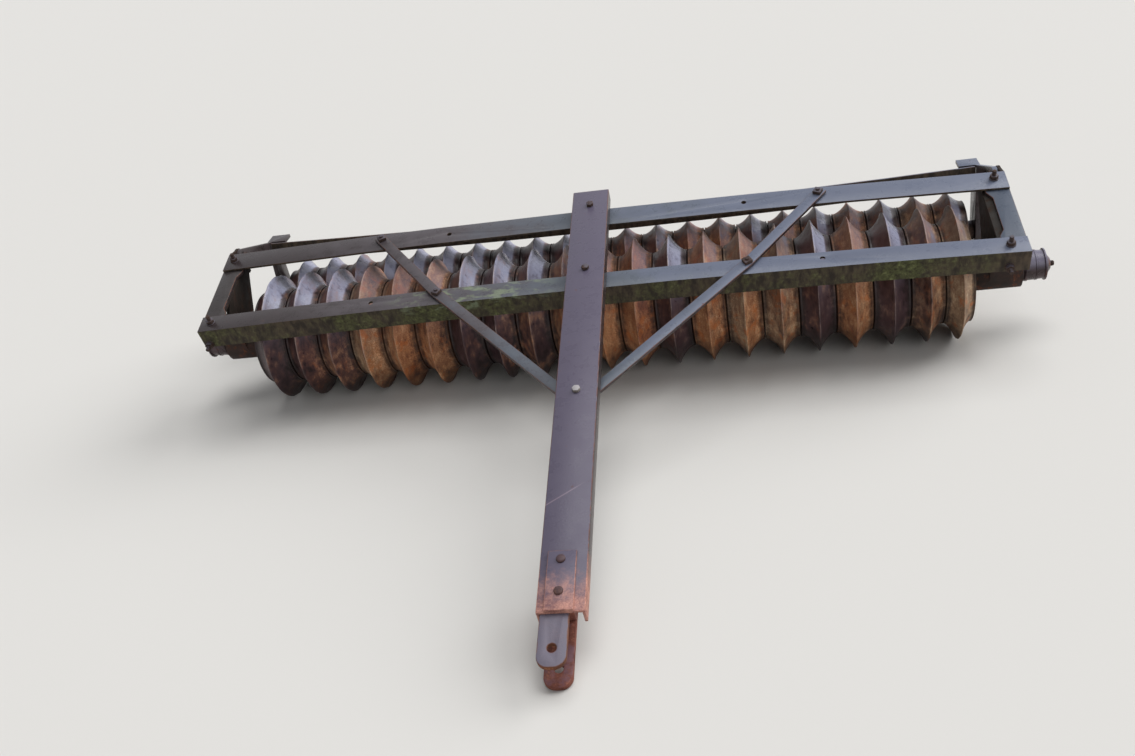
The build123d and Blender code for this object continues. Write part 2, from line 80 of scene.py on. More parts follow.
class Fixing(Enum):
    """The kinds of bolt on the machine."""

    STUD_NUT = "stud_nut"
    SQUARE_NUT = "square_nut"
    HEX_HEAD = "hex_head"
    BRIGHT_HEAD = "bright_head"
    ROUND_HEAD = "round_head"


@dataclass(frozen=True)
class TiltedPlace:
    """The directions of the frame over the front gang, which leans down to its hitch."""

    shaft: Vector
    tilt: float

    def matrix(self) -> Matrix:
        """Return the change from the frame's own millimetres to metres."""
        turn = Matrix.Rotation(self.tilt, 4, "X")
        return Matrix.Translation(self.shaft) @ turn @ Matrix.Scale(MM, 4)

    def point(self, x: float, y: float, z: float) -> Vector:
        """Return a point given in the frame's own millimetres from the front shaft."""
        return self.matrix() @ Vector((x, y, z))

    def direction(self, x: float, y: float, z: float) -> Vector:
        """Return a direction given along the frame's own axes."""
        return Matrix.Rotation(self.tilt, 3, "X") @ Vector((x, y, z))


def joint_place(name: str) -> Vector:
    """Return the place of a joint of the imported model."""
    joint = next(entry for entry in frame["joints"] if entry["name"] == name)
    return Vector(joint["pos_m"])


HITCH_AXIS = frame["record"]["mounts"][0]["axis"]
FRONT_AXLE = joint_place("front_gang_spin")
REAR_AXLE = joint_place("rear_gang_spin")
TILTED = TiltedPlace(FRONT_AXLE, math.atan2(-HITCH_AXIS[1], HITCH_AXIS[2]))

ZERO = Vector()
ACROSS = Vector((1, 0, 0))
UPRIGHT = Vector((0, 0, 1))
FRAME_UP = TILTED.direction(0, 0, 1)
FRAME_BACK = TILTED.direction(0, 1, 0)

# The frame's own sizes in millimetres
FRAME_HALF = 1168.4
HALF_DEPTH = 177.8
FRAME_TOP = 203.2
RAIL_RISE = 20.0
TONGUE_X = -3.0
TONGUE_FRONT = -1248.0
TONGUE_TOP = FRAME_TOP + RAIL_RISE + 41.3
STRAP_TOP = TONGUE_TOP + 8.0
LOWER_EAR_BASE = TONGUE_TOP - 7.0 - 2 * 12.7 - 68.0
BRACE_THICKNESS = 9.5
SCRATCH_Y = -924.7
SCRATCH_SLOPE = 0.693


def linear(colour: str) -> tuple[float, float, float, float]:
    """Turn an sRGB hex colour to the linear values that a shader takes.

    Args:
        colour: Six hex digits after a #.

    Returns:
        Red, green, blue and alpha.
    """
    parts = [int(colour[at : at + 2], 16) / 255 for at in (1, 3, 5)]
    return (*(p / 12.92 if p <= 0.04045 else ((p + 0.055) / 1.055) ** 2.4 for p in parts), 1.0)


def add_node(tree: NodeTree, kind: str, links: dict | None = None, **settings) -> bpy.types.Node:
    """Add a node with its settings, values and links.

    Args:
        tree: The tree that takes the node.
        kind: Blender's name for the node type.
        links: Inputs by name or number, with the flow, socket or value that each one takes.
        **settings: Properties of the node.

    Returns:
        The new node.
    """
    node = tree.nodes.new(kind)
    for name, value in settings.items():
        setattr(node, name, value)
    for name, value in (links or {}).items():
        value = value.socket if isinstance(value, Flow) else value
        if isinstance(value, Socket):
            tree.links.new(value, node.inputs[name])
        else:
            node.inputs[name].default_value = value
    return node


class Flow:
    """A value, vector or colour that flows through a node tree, to be worked with like a number."""

    def __init__(self, socket: Socket) -> None:
        """Take up an output of a node."""
        self.socket = socket
        self.tree = socket.id_data

    def sums(self, how: str, other: "Flow | Socket | float" = 0.0) -> "Flow":
        """Work out a sum of two values."""
        return Flow(add_node(self.tree, "ShaderNodeMath", {0: self, 1: other}, operation=how).outputs[0])

    def vectors(self, how: str, other: "Flow | Vector" = ZERO) -> "Flow":
        """Work out a sum of two vectors."""
        node = add_node(self.tree, "ShaderNodeVectorMath", {0: self, 1: other}, operation=how)
        return Flow(node.outputs["Value" if how in ("LENGTH", "DOT_PRODUCT") else "Vector"])

    def __add__(self, other: "Flow | float") -> "Flow":
        """Add a value."""
        return self.sums("ADD", other)

    def __sub__(self, other: "Flow | float") -> "Flow":
        """Take away a value."""
        return self.sums("SUBTRACT", other)

    def __mul__(self, other: "Flow | float") -> "Flow":
        """Multiply by a value."""
        return self.sums("MULTIPLY", other)

    def along(self, way: Vector) -> "Flow":
        """Measure a vector along a direction."""
        return self.vectors("DOT_PRODUCT", way)

    def from_axle(self, axle: "Flow | Vector") -> "tuple[Flow, Flow]":
        """Return the way out to a place from an axle that runs across, and its length."""
        outward = self.vectors("SUBTRACT", axle).vectors("MULTIPLY", Vector((0, 1, 1)))
        return outward, outward.vectors("LENGTH")

    def ramp(self, low: "Flow | float", high: "Flow | float", how: str = "SMOOTHSTEP") -> "Flow":
        """Turn a value to 0 at low and 1 at high."""
        links = {"Value": self, "From Min": low, "From Max": high}
        return Flow(add_node(self.tree, "ShaderNodeMapRange", links, interpolation_type=how).outputs[0])

    def tones(self, *stops: tuple[float, str]) -> "Flow":
        """Turn a value to a colour.

        Args:
            *stops: Values with hex colours, which run into each other.

        Returns:
            The colour.
        """
        node = add_node(self.tree, "ShaderNodeValToRGB", {"Fac": self})
        ramp = node.color_ramp
        ramp.interpolation = "EASE"
        while len(ramp.elements) < len(stops):
            ramp.elements.new(1.0)
        for element, (position, colour) in zip(ramp.elements, stops):
            element.position = position
            element.color = linear(colour)
        return Flow(node.outputs["Color"])

    def covered(self, share: "Flow", above: "Flow | str", strength: float) -> "Flow":
        """Lay another colour over this one.

        Args:
            share: How much of the upper colour shows.
            above: The upper colour.
            strength: Most of the upper colour that can show.

        Returns:
            The mixed colour.
        """
        above = linear(above) if isinstance(above, str) else above
        links = {MIX_SHARE: share * strength, MIX_BELOW: self, MIX_ABOVE: above}
        return Flow(add_node(self.tree, "ShaderNodeMix", links, data_type="RGBA").outputs[MIX_RESULT])


class Weave:
    """The node tree of one material, with the steps that every finish shares."""

    def __init__(self, name: str) -> None:
        """Open an empty material.

        Args:
            name: The material's name.
        """
        self.material = bpy.data.materials.new(name)
        self.material.use_nodes = True
        self.tree = self.material.node_tree
        self.tree.nodes.clear()
        coordinates = add_node(self.tree, "ShaderNodeTexCoord")
        self.place = Flow(coordinates.outputs["Object"])
        self.facing = Flow(coordinates.outputs["Normal"])

    def attribute(self, name: str) -> Flow:
        """Read a value that the mesh carries."""
        return Flow(add_node(self.tree, "ShaderNodeAttribute", attribute_name=name).outputs["Fac"])

    def grain(
        self, size_mm: float, detail: float, stretch: tuple | None = None, place: Flow | None = None
    ) -> Flow:
        """Add cloudy noise around 0.5.

        Args:
            size_mm: Size of one cloud.
            detail: Octaves of finer noise.
            stretch: Scale of the coordinates along each axis, where clouds run out to streaks.
            place: Other coordinates than the piece's own.

        Returns:
            The noise.
        """
        place = place or self.place
        if stretch:
            links = {"Vector": place, "Scale": stretch}
            place = add_node(self.tree, "ShaderNodeMapping", links).outputs["Vector"]
        links = {"Vector": place, "Scale": 1 / (size_mm * MM), "Detail": detail, "Roughness": 0.62}
        return Flow(add_node(self.tree, "ShaderNodeTexNoise", links).outputs["Fac"])

    def faces(self, way: Vector, low: float, high: float) -> Flow:
        """Find what faces one way: 0 where the cosine is low and 1 where it is high."""
        return self.facing.along(way).ramp(low, high)

    def close(self, colour: Flow, roughness: Flow, heights: list[tuple[Flow, float]]) -> Material:
        """Add the shader, with its bumps one upon another.

        Args:
            colour: Base colour.
            roughness: Roughness.
            heights: Height values with the millimetres that 1 stands for.

        Returns:
            The finished material.
        """
        links = {}
        for height, depth_mm in heights:
            links |= {"Height": height, "Distance": depth_mm * MM}
            links["Normal"] = add_node(self.tree, "ShaderNodeBump", links).outputs["Normal"]
        links = {"Base Color": colour, "Roughness": roughness, "Normal": links["Normal"]}
        links["Specular IOR Level"] = 0.3
        shader = add_node(self.tree, "ShaderNodeBsdfPrincipled", links)
        add_node(self.tree, "ShaderNodeOutputMaterial", {"Surface": shader.outputs["BSDF"]})
        return self.material


@dataclass(frozen=True)
class RolledSteel:
    """Hot-rolled steel after years outdoors.

    The mill scale has turned to a thin dark skin. A dull blue-grey sheen is painted on top, which
    turns browner to the left, where less light falls, and its rolled edges have rusted to red-brown
    lines.
    """

    name: str
    rust: float = 0.12
    moss: float = 0.0
    lichen: bool = False
    tip_rust: bool = False
    skin: tuple[str, str] = ("#2B2524", "#4A4042")
    sheen_tones: tuple[str, str, str, str] = ("#3B3435", "#504A4E", "#585F69", "#666D80")
    dullness: float = 0.0
    scratched: bool = False
    dark_above: float = 0.0

    def scratch(self, weave: Weave, across: Flow) -> Flow:
        """Draw one thin scratch slantwise over the tongue.

        Args:
            weave: The material.
            across: Places across the machine.

        Returns:
            1 on the scratch and 0 beside it.
        """
        slanted = weave.place.along(FRAME_BACK) + across * -SCRATCH_SLOPE
        middle = FRAME_BACK.dot(TILTED.point(0, SCRATCH_Y, 0))
        away = (slanted - middle).sums("ABSOLUTE")
        return away.ramp(0.0030, 0.0008) * across.ramp(0.038, 0.0)

    def build(self) -> Material:
        """Make the material.

        Returns:
            The material.
        """
        weave = Weave(self.name)
        clouds, mottle, speck = weave.grain(240, 3), weave.grain(34, 7), weave.grain(4, 4)
        drawn = weave.grain(22, 5, (0.22, 1.0, 1.0))
        across, upward = weave.place.along(ACROSS), weave.faces(FRAME_UP, 0.2, 0.9)
        skin = (clouds * 0.4 + mottle * 0.6).tones((0.34, self.skin[0]), (0.66, self.skin[1]))
        # Painted sheen on upward faces: brown at the left, blue-grey to the right, where the light comes from
        side = across.ramp(-1.4, 1.4) + clouds * 0.34 + mottle * 0.16 + drawn * 0.12
        sheen_tones = side.tones(*zip((0.36, 0.56, 0.80, 1.0), self.sheen_tones))
        colour = skin.covered(upward, sheen_tones, 0.92)
        patches = weave.grain(13, 5, (1.0, 1.0, 0.16)) * 0.45 + mottle * 0.55
        rusted = patches.ramp(0.66 - 0.3 * self.rust, 0.74 - 0.24 * self.rust)
        rusted = rusted.sums("MAXIMUM", weave.attribute("edge") * patches.ramp(0.36, 0.56))
        colour = colour.covered(rusted, speck.tones((0.34, "#472B22"), (0.66, "#7C4D34")), 0.8)
        # Painted shade: the piece turns dark above the given height
        if self.dark_above:
            low = FRAME_UP.dot(TILTED.point(0, 0, self.dark_above))
            shaded = weave.place.along(FRAME_UP).ramp(low, low + 0.02)
            colour = colour.covered(shaded, "#1A1610", 0.75)
        if self.scratched:
            colour = colour.covered(self.scratch(weave, across) * upward, "#A08C98", 0.45)
        if self.tip_rust:
            tip = -FRAME_BACK.dot(TILTED.point(0, TONGUE_FRONT, 0))
            near_edge = weave.attribute("rim").ramp(0.2, 1.0)
            reach = weave.place.along(-FRAME_BACK) + patches * 0.20 + near_edge * 0.07
            near_tip = reach.ramp(tip - 0.015, tip + 0.12)
            rusted = rusted.sums("MAXIMUM", near_tip)
            orange = (speck * 0.5 + mottle * 0.5).tones((0.36, "#905F56"), (0.62, "#D29A88"))
            colour = colour.covered(near_tip, orange, 0.86)
        roughness = mottle.ramp(-0.5, 2.2) + rusted * 0.25 + self.dullness
        heights = [(speck, 0.3), (mottle, 0.45)]
        if self.moss:
            forward = weave.faces(-FRAME_BACK, 0.35, 0.8)
            tuft, hanging = weave.grain(11, 7), weave.grain(20, 6, (1.0, 1.0, 0.35))
            spread = clouds * 0.55 + hanging * 0.45
            grown = spread.ramp(0.64 - 0.3 * self.moss, 0.86 - 0.3 * self.moss)
            dirt = hanging.tones((0.34, "#2A241C"), (0.66, "#564A3C"))
            colour = colour.covered(forward, dirt, 0.85)
            greens = tuft.tones((0.34, "#2A2A17"), (0.52, "#4B4F2E"), (0.70, "#747A50"))
            mossy = forward * grown * across.ramp(1.12, 1.03)
            colour = colour.covered(mossy, greens, 0.85)
            roughness = roughness.sums("MAXIMUM", forward * 0.9)
            heights.append((tuft * mossy, 5.0))
        if self.lichen:
            top = FRAME_UP.dot(TILTED.point(0, 0, 215))
            band = (weave.place.along(FRAME_UP) + mottle * 0.03).ramp(top - 0.016, top + 0.002)
            crust = weave.grain(24, 6, (0.5, 1.0, 1.0)).ramp(0.48, 0.62)
            pale = crust * band * across.ramp(-0.62, -0.44) * across.ramp(-0.06, -0.20)
            colour = colour.covered(pale, "#7F8A70", 0.7)
        return weave.close(colour, roughness, heights)


@dataclass(frozen=True)
class RustedSteel:
    """Bare steel plate and bolts, rusted all over, with a grey-blue painted sheen on upward faces."""

    name: str
    tones: tuple[str, str, str] = ("#38221C", "#69402C", "#96603F")
    # Colour of the painted sheen on upward faces, and its share
    scale: str = "#5E5B68"
    sheen_share: float = 0.35

    def build(self) -> Material:
        """Make the material.

        Returns:
            The material.
        """
        weave = Weave(self.name)
        blotch, speck = weave.grain(26, 7), weave.grain(3.5, 4)
        rust = (blotch * 0.6 + speck * 0.4).tones(*zip((0.34, 0.50, 0.66), self.tones))
        # Painted sheen in patches on upward faces, where the roughness is lower too
        low = 0.66 - 0.5 * self.sheen_share
        sheen_on_top = weave.faces(UPRIGHT, 0.2, 0.95) * weave.grain(45, 5).ramp(low, low + 0.16)
        colour = rust.covered(sheen_on_top, self.scale, 0.9)
        edge = weave.attribute("edge") * blotch.ramp(0.35, 0.6)
        colour = colour.covered(edge, self.tones[1], 0.8)
        return weave.close(colour, sheen_on_top * -0.4 + 0.85, [(speck, 0.4), (blotch, 0.9)])


# Dark, middle and pale tones of the orange, the khaki and the brick-red rust on the wheels
WHEEL_RUST = (
    ("#6C4330", "#B27850", "#E4AE80"),
    ("#604F40", "#A0866C", "#D2BC9C"),
    ("#4E2A22", "#874E3B", "#B87A56"),
)


@dataclass(frozen=True)
class CastWheelIron:
    """Sand-cast grey iron that the soil has scoured and the weather browned.

    The flanks keep a dark plum skin. A bluish sheen is painted on the right ones, and painted shade
    makes the left ones red-brown. Some wheels and single flanks have gone orange, brick or khaki, in
    streaks round the rim, the crest is worn to a thin paler line, and what lies near the ground is
    darker, wet and dirty, with painted shade. Painted shade and grime darken the grooves between wheels.
    """

    name: str
    axle: Vector
    crest_mm: float
    ridge_mm: float

    def flank_chance(self, weave: Weave, along: Flow, seed: float) -> Flow:
        """Give every flank of every wheel its own value from 0 to 1.

        Args:
            weave: The material.
            along: Places along the axle.
            seed: Another number gives other values.

        Returns:
            The value.
        """
        middle = weave.attribute("centre")
        links = {"W": middle * seed + along.sums("GREATER_THAN", middle) * 0.37}
        node = add_node(weave.tree, "ShaderNodeTexWhiteNoise", links, noise_dimensions="1D")
        return Flow(node.outputs["Value"])

    def build(self) -> Material:
        """Make the material.

        Returns:
            The material.
        """
        weave = Weave(self.name)
        along, height = weave.place.along(ACROSS), weave.place.along(UPRIGHT)
        outward, radius = weave.place.from_axle(self.axle)
        # Streaks run out along the flanks: the direction from the axle counts, not the distance
        rolled = outward.vectors("NORMALIZE").vectors("MULTIPLY", Vector((0, 0.045, 0.045)))
        rolled = rolled.vectors("ADD", weave.place.vectors("MULTIPLY", ACROSS))
        crest, root = self.crest_mm * MM, (self.crest_mm - self.ridge_mm) * MM
        clouds, streaks = weave.grain(120, 4), weave.grain(11, 6, place=rolled)
        mottle, speck = weave.grain(22, 5), weave.grain(3.5, 4)
        mixed = clouds * 0.42 + streaks * 0.34 + mottle * 0.24
        skin = mixed.tones((0.38, "#2A2020"), (0.50, "#48363A"), (0.62, "#6A5654"))
        amount = weave.attribute("rust") + self.flank_chance(weave, along, 17.0) * 0.35
        rusted = (mixed * 0.62 + amount * 0.34).ramp(0.41, 0.62)
        tone = speck * 0.34 + streaks * 0.40 + clouds * 0.26
        orange, khaki, brick = (tone.tones(*zip((0.39, 0.50, 0.61), row)) for row in WHEEL_RUST)
        hue = weave.attribute("hue") + self.flank_chance(weave, along, 41.0) * 0.30 + mottle * 0.5
        rust = orange.covered(hue.ramp(0.92, 1.18), khaki, 0.85)
        rust = rust.covered(hue.ramp(0.86, 0.62), brick, 0.85)
        colour = skin.covered(rusted, rust, 0.92)
        fresh = rusted * weave.grain(38, 5).ramp(0.54, 0.64)
        colour = colour.covered(fresh, "#C0672C", 0.5)
        # Painted shade on left-facing flanks: darker and red-brown, most where they also face up
        shaded_left = weave.faces(-ACROSS, 0.15, 0.6)
        colour = colour.covered(shaded_left, "#2A1815", 0.2)
        colour = colour.covered(shaded_left * weave.faces(UPRIGHT, -0.1, 0.5), "#3E211B", 0.6)
        # Painted sheen: a bluish sky reflection on faces that look right and up, less on rust, none near the root
        upward = weave.faces(Vector((0.5, 0, 0.866)), 0.35, 0.98)
        sheen = upward * (rusted * -0.4 + 1.0) * mottle.ramp(-0.1, 0.5)
        sheen = sheen * radius.ramp(root + 0.001, root + 0.010)
        sky = sheen.tones((0.1, "#5C4F56"), (0.55, "#726C7A"), (1.0, "#9C9FB6"))
        colour = colour.covered(sheen, sky, 0.9)
        worn = (radius + mottle * 0.004).ramp(crest - 0.0004, crest + 0.0024)
        patchy = worn * weave.grain(70, 3).ramp(0.38, 0.62) * height.ramp(0.06, 0.30)
        colour = colour.covered(patchy, "#A8948C", 0.75)
        # Darker towards the ground: wet dirt, and painted shade under the wheels
        damp_and_shade = (height + clouds * 0.16 + streaks * 0.05).ramp(0.262, 0.128)
        colour = colour.covered(damp_and_shade, "#261C18", 0.7)
        # Painted shade and grime darken the grooves between the wheels, near the root
        groove_grime_and_shade = (radius + mottle * 0.014).ramp(root + 0.016, root + 0.007)
        colour = colour.covered(groove_grime_and_shade, "#1C1311", 0.85)
        roughness = mottle.ramp(-0.6, 2.0) + rusted * 0.22 + sheen * -0.12
        return weave.close(colour, roughness, [(speck, 0.35), (mottle, 0.7)])


def put_in_scene(name: str, data: bpy.types.ID) -> Object:
    """Make an object and link it to the scene.

    Args:
        name: The object's name.
        data: Its mesh, lamp or camera.

    Returns:
        The new object, at the origin.
    """
    made = bpy.data.objects.new(name, data)
    bpy.context.scene.collection.objects.link(made)
    return made


def finished_object(name: str, mesh: Mesh, material: Material) -> Object:
    """Give a mesh its material and put it in the scene.

    Args:
        name: The piece's name.
        mesh: Its mesh, in place.
        material: Its one finish.

    Returns:
        The new object, at the origin.
    """
    mesh.materials.clear()
    mesh.materials.append(material)
    return put_in_scene(name, mesh)


def set_down(piece: Object, body: Body, slot: Slot, *nodes: str) -> None:
    """Let a finished piece ride on its body and stand for its CAD nodes.

    Args:
        piece: The piece.
        body: The body it moves with.
        slot: Its finish slot; not used.
        *nodes: CAD nodes that it stands for.
    """
    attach(piece, body.value)
    if nodes:
        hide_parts(*nodes)
    LOG.info("%s: %d faces on %s", piece.name, len(piece.data.polygons), body.value)


def turn_profile(solid: BMesh, profile: Profile, segments: int, place: Matrix | None = None) -> None:
    """Turn a closed outline about the X axis to a ring.

    Args:
        solid: The mesh that takes the ring.
        profile: Distances along the axis and radii, in the order of the outline.
        segments: Steps round the axis.
        place: Where the ring goes, if not at the origin.
    """
    rings = []
    for step in range(segments):
        turn = 2 * math.pi * step / segments
        ring = []
        for x, radius in profile:
            corner = Vector((x, radius * math.cos(turn), radius * math.sin(turn)))
            ring.append(solid.verts.new(place @ corner if place else corner))
        rings.append(ring)
    for ring, after in zip(rings, rings[1:] + rings[:1]):
        for at in range(len(profile)):
            nxt = (at + 1) % len(profile)
            solid.faces.new((ring[at], after[at], after[nxt], ring[nxt]))
    # Rings that shrink to a point close up there
    bmesh.ops.remove_doubles(solid, verts=[v for ring in rings for v in ring], dist=1e-5)


def close_mesh(solid: BMesh, name: str, sharp_deg: float = 35.0) -> Mesh:
    """Turn a bmesh to a smooth mesh with its faces outwards.

    Args:
        solid: The finished shape, in metres.
        name: The mesh's name.
        sharp_deg: Edges turn hard above this angle.

    Returns:
        The mesh.
    """
    bmesh.ops.recalc_face_normals(solid, faces=solid.faces)
    mesh = bpy.data.meshes.new(name)
    solid.to_mesh(mesh)
    solid.free()
    mesh.polygons.foreach_set("use_smooth", [True] * len(mesh.polygons))
    mesh.set_sharp_from_angle(angle=math.radians(sharp_deg))
    return mesh


def grown_object(tree: NodeTree, start: Mesh, name: str, material: Material, inputs: dict) -> Object:
    """Run a geometry tree on a mesh and keep the plain result.

    Args:
        tree: The tree.
        start: The mesh it starts from.
        name: The result's name.
        material: Its finish, which the tree takes as Finish.
        inputs: The tree's other inputs by name.

    Returns:
        The finished piece.
    """
    inputs = inputs | {"Finish": material}
    holder = put_in_scene(f"{name}_holder", start)
    modifier = holder.modifiers.new("grow", "NODES")
    modifier.node_group = tree
    for item in tree.interface.items_tree:
        if item.item_type == "SOCKET" and item.in_out == "INPUT" and item.name in inputs:
            modifier[item.identifier] = inputs[item.name]
    depsgraph = bpy.context.evaluated_depsgraph_get()
    mesh = bpy.data.meshes.new_from_object(holder.evaluated_get(depsgraph))
    mesh.name = name
    holder.modifiers.remove(modifier)
    bpy.data.objects.remove(holder)
    return finished_object(name, mesh, material)


def open_tree(name: str, inputs: dict[str, str]) -> tuple[NodeTree, dict[str, Flow]]:
    """Open a geometry tree with named inputs.

    Args:
        name: The tree's name.
        inputs: Kind of socket of each input, by name.

    Returns:
        The tree, and its inputs by name.
    """
    tree = bpy.data.node_groups.new(name, "GeometryNodeTree")
    tree.interface.new_socket("Geometry", in_out="INPUT", socket_type="NodeSocketGeometry")
    for label, kind in inputs.items():
        tree.interface.new_socket(label, in_out="INPUT", socket_type=f"NodeSocket{kind}")
    tree.interface.new_socket("Geometry", in_out="OUTPUT", socket_type="NodeSocketGeometry")
    group = add_node(tree, "NodeGroupInput")
    return tree, {socket.name: Flow(socket) for socket in group.outputs if socket.name}


def close_tree(tree: NodeTree, finish: Flow, geometry: Socket) -> None:
    """End a geometry tree with its material and its output."""
    dressed = add_node(tree, "GeometryNodeSetMaterial", {"Geometry": geometry, "Material": finish})
    add_node(tree, "NodeGroupOutput", {"Geometry": dressed.outputs[0]})


def set_on_points(tree: NodeTree, given: dict[str, Flow], links: dict[str, Socket]) -> Socket:
    """Repeat one object on the points that come in, as real geometry.

    Args:
        tree: The tree.
        given: Its inputs, with the object as One.
        links: The rotation and scale of each.

    Returns:
        The geometry.
    """
    one = add_node(tree, "GeometryNodeObjectInfo", {"Object": given["One"], "As Instance": True})
    links = {"Points": given["Geometry"], "Instance": one.outputs["Geometry"]} | links
    placed = add_node(tree, "GeometryNodeInstanceOnPoints", links)
    return add_node(tree, "GeometryNodeRealizeInstances", {"Geometry": placed.outputs[0]}).outputs[0]


def named_value(tree: NodeTree, name: str, kind: str = "FLOAT") -> Socket:
    """Read a value that the points carry."""
    node = add_node(tree, "GeometryNodeInputNamedAttribute", {"Name": name}, data_type=kind)
    return node.outputs["Attribute"]


def loose_points(name: str, places: list[Vector], columns: dict[str, list]) -> Mesh:
    """Make a mesh of loose points that carry values.

    Args:
        name: The mesh's name.
        places: Where the points are.
        columns: Numbers or vectors, one for each point, by name.

    Returns:
        The mesh.
    """
    mesh = bpy.data.meshes.new(name)
    mesh.from_pydata(places, [], [])
    for label, column in columns.items():
        if isinstance(column[0], Vector):
            kind, part, column = "FLOAT_VECTOR", "vector", [axis for entry in column for axis in entry]
        else:
            kind, part = "FLOAT", "value"
        mesh.attributes.new(label, kind, "POINT")
        mesh.attributes[label].data.foreach_set(part, column)
    return mesh


@dataclass(frozen=True)
class WheelGang:
    """A row of ridged cast wheels on one shaft."""

    name: str
    node: str
    body: Body
    axle: Vector
    left_x: float
    pitches: tuple[float, ...]
    radius: float
    ridge: float
    bore: float
    hollow: float
    segments: int
    rust_by_wheel: tuple[float, ...]
    hue_by_wheel: tuple[float, ...]
    pitch: float = 101.6
    rim_gap: float = 4.6
    lip_gap: float = 1.0
    hub_gap: float = 0.4
    hub_radius: float = 38.0
    rim_wall: float = 13.0
    clocking_deg: float = 37.0
    spokes: int = 4
    nick_size: float = 0.022
    nick_depth: float = 0.0035
    nick_reach: float = 0.012

    def rim_outline(self) -> Profile:
        """Draw the rim: concave flanks up to a worn crest, hollow below.

        Returns:
            Its outline.
        """
        half = (self.pitch - self.rim_gap) / 2
        root = self.radius - self.ridge
        steps = 9
        left = []
        for step in range(steps):
            share = step / steps
            dip = self.hollow * 4 * share * (1 - share)
            left.append((-half * (1 - share), root + self.ridge * share - dip))
        left[0] = (-half, root + 1.5)
        left.insert(1, (-half + 1.2, root + 2.2))
        crest = [(x, self.radius - drop) for x, drop in ((-1.8, 1.0), (-0.8, 0.1), (0.8, 0.1), (1.8, 1.0))]
        right = [(-x, r) for x, r in reversed(left)]
        inner_edge = root - 9.0
        lip = (self.pitch - self.lip_gap) / 2
        inner = [
            (half, root - 2.5),
            (lip, root - 4.5),
            (lip, inner_edge),
            (half - 8.0, inner_edge - 1.0),
            (half - 15.0, root - 2.0),
            (10.0, self.radius - self.rim_wall - self.ridge * 0.32),
            (0.0, self.radius - self.rim_wall - self.ridge * 0.24),
        ]
        inner += [(-x, r) for x, r in reversed(inner[:-1])]
        return left + crest + right + inner

    def hub_outline(self) -> Profile:
        """Draw the hub: a tube that swells where the spokes meet it.

        Returns:
            Its outline.
        """
        half, edge = (self.pitch - self.hub_gap) / 2, self.hub_radius
        swell = [(-30, edge), (-24, edge + 4), (24, edge + 4), (30, edge)]
        end = [(half - 3, edge), (half, edge - 3), (half, self.bore), (-half, self.bore)]
        return [(-half, edge - 3), (-half + 3, edge), *swell, *end]

    def add_spoke(self, solid: BMesh, turn: float) -> None:
        """Add a spoke that flares into hub and rim.

        Args:
            solid: The wheel's mesh.
            turn: The spoke's direction about the axle, in radians.
        """
        root = self.radius - self.ridge
        # Radius, width along the axle and thickness at each step outwards
        stations = (
            (self.hub_radius - 3, 54, 26),
            (self.hub_radius + 5, 46, 18),
            (self.hub_radius + 14, 41, 14),
            (root - 30, 42, 14),
            (root - 15, 48, 18),
            (root - 6, 62, 27),
            (root + 4, 62, 27),
        )
        rings = []
        for radius, width, thickness in stations:
            cut = thickness * 0.3
            upper = [(width / 2, thickness / 2 - cut), (width / 2 - cut, thickness / 2)]
            upper += [(-x, t) for x, t in reversed(upper)]
            ring = []
            for x, t in upper + [(-x, -t) for x, t in upper]:
                y = radius * math.cos(turn) - t * math.sin(turn)
                z = radius * math.sin(turn) + t * math.cos(turn)
                ring.append(solid.verts.new((x, y, z)))
            rings.append(ring)
        for below, above in zip(rings, rings[1:]):
            for at, corner in enumerate(below):
                nxt = (at + 1) % len(below)
                solid.faces.new((corner, below[nxt], above[nxt], above[at]))
        for ring in (rings[0], rings[-1]):
            solid.faces.new(ring)

    def wheel(self) -> Object:
        """Build one wheel about the origin.

        Returns:
            The wheel, which the gang's tree repeats.
        """
        solid = bmesh.new()
        turn_profile(solid, self.rim_outline(), self.segments)
        turn_profile(solid, self.hub_outline(), 40)
        for arm in range(self.spokes):
            self.add_spoke(solid, 2 * math.pi * arm / self.spokes)
        bmesh.ops.scale(solid, vec=(MM, MM, MM), verts=solid.verts)
        name = f"{self.name}_one"
        return put_in_scene(name, close_mesh(solid, name, 32.0))

    def seats(self) -> Mesh:
        """Make the wheels' middles a mesh of loose points.

        Returns:
            Points with each wheel's share of a full width, its rust, the rust's hue and its place.
        """
        starts = [self.left_x + sum(self.pitches[:at]) for at in range(len(self.pitches))]
        middles = [start + width / 2 for start, width in zip(starts, self.pitches)]
        columns = {
            "width": [width / self.pitch for width in self.pitches],
            "rust": list(self.rust_by_wheel),
            "hue": list(self.hue_by_wheel),
            "centre": [x * MM for x in middles],
        }
        places = [Vector((x * MM, self.axle.y, self.axle.z)) for x in middles]
        return loose_points(f"{self.name}_seats", places, columns)

    def tree(self) -> NodeTree:
        """Build the tree that sets a wheel on each point, turns each one on and nicks the crests.

        Returns:
            The tree.
        """
        kinds = {"One": "Object", "Clocking": "Float", "Axle": "Vector", "Crest Radius": "Float"}
        kinds |= {"Nick Size": "Float", "Nick Depth": "Float", "Finish": "Material"}
        tree, given = open_tree(f"{self.name}_row", kinds)
        index = Flow(add_node(tree, "GeometryNodeInputIndex").outputs[0])
        turned = add_node(tree, "ShaderNodeCombineXYZ", {"X": index * given["Clocking"]})
        links = {"X": named_value(tree, "width"), "Y": 1.0, "Z": 1.0}
        wide = add_node(tree, "ShaderNodeCombineXYZ", links)
        wheels = set_on_points(tree, given, {"Rotation": turned.outputs[0], "Scale": wide.outputs[0]})

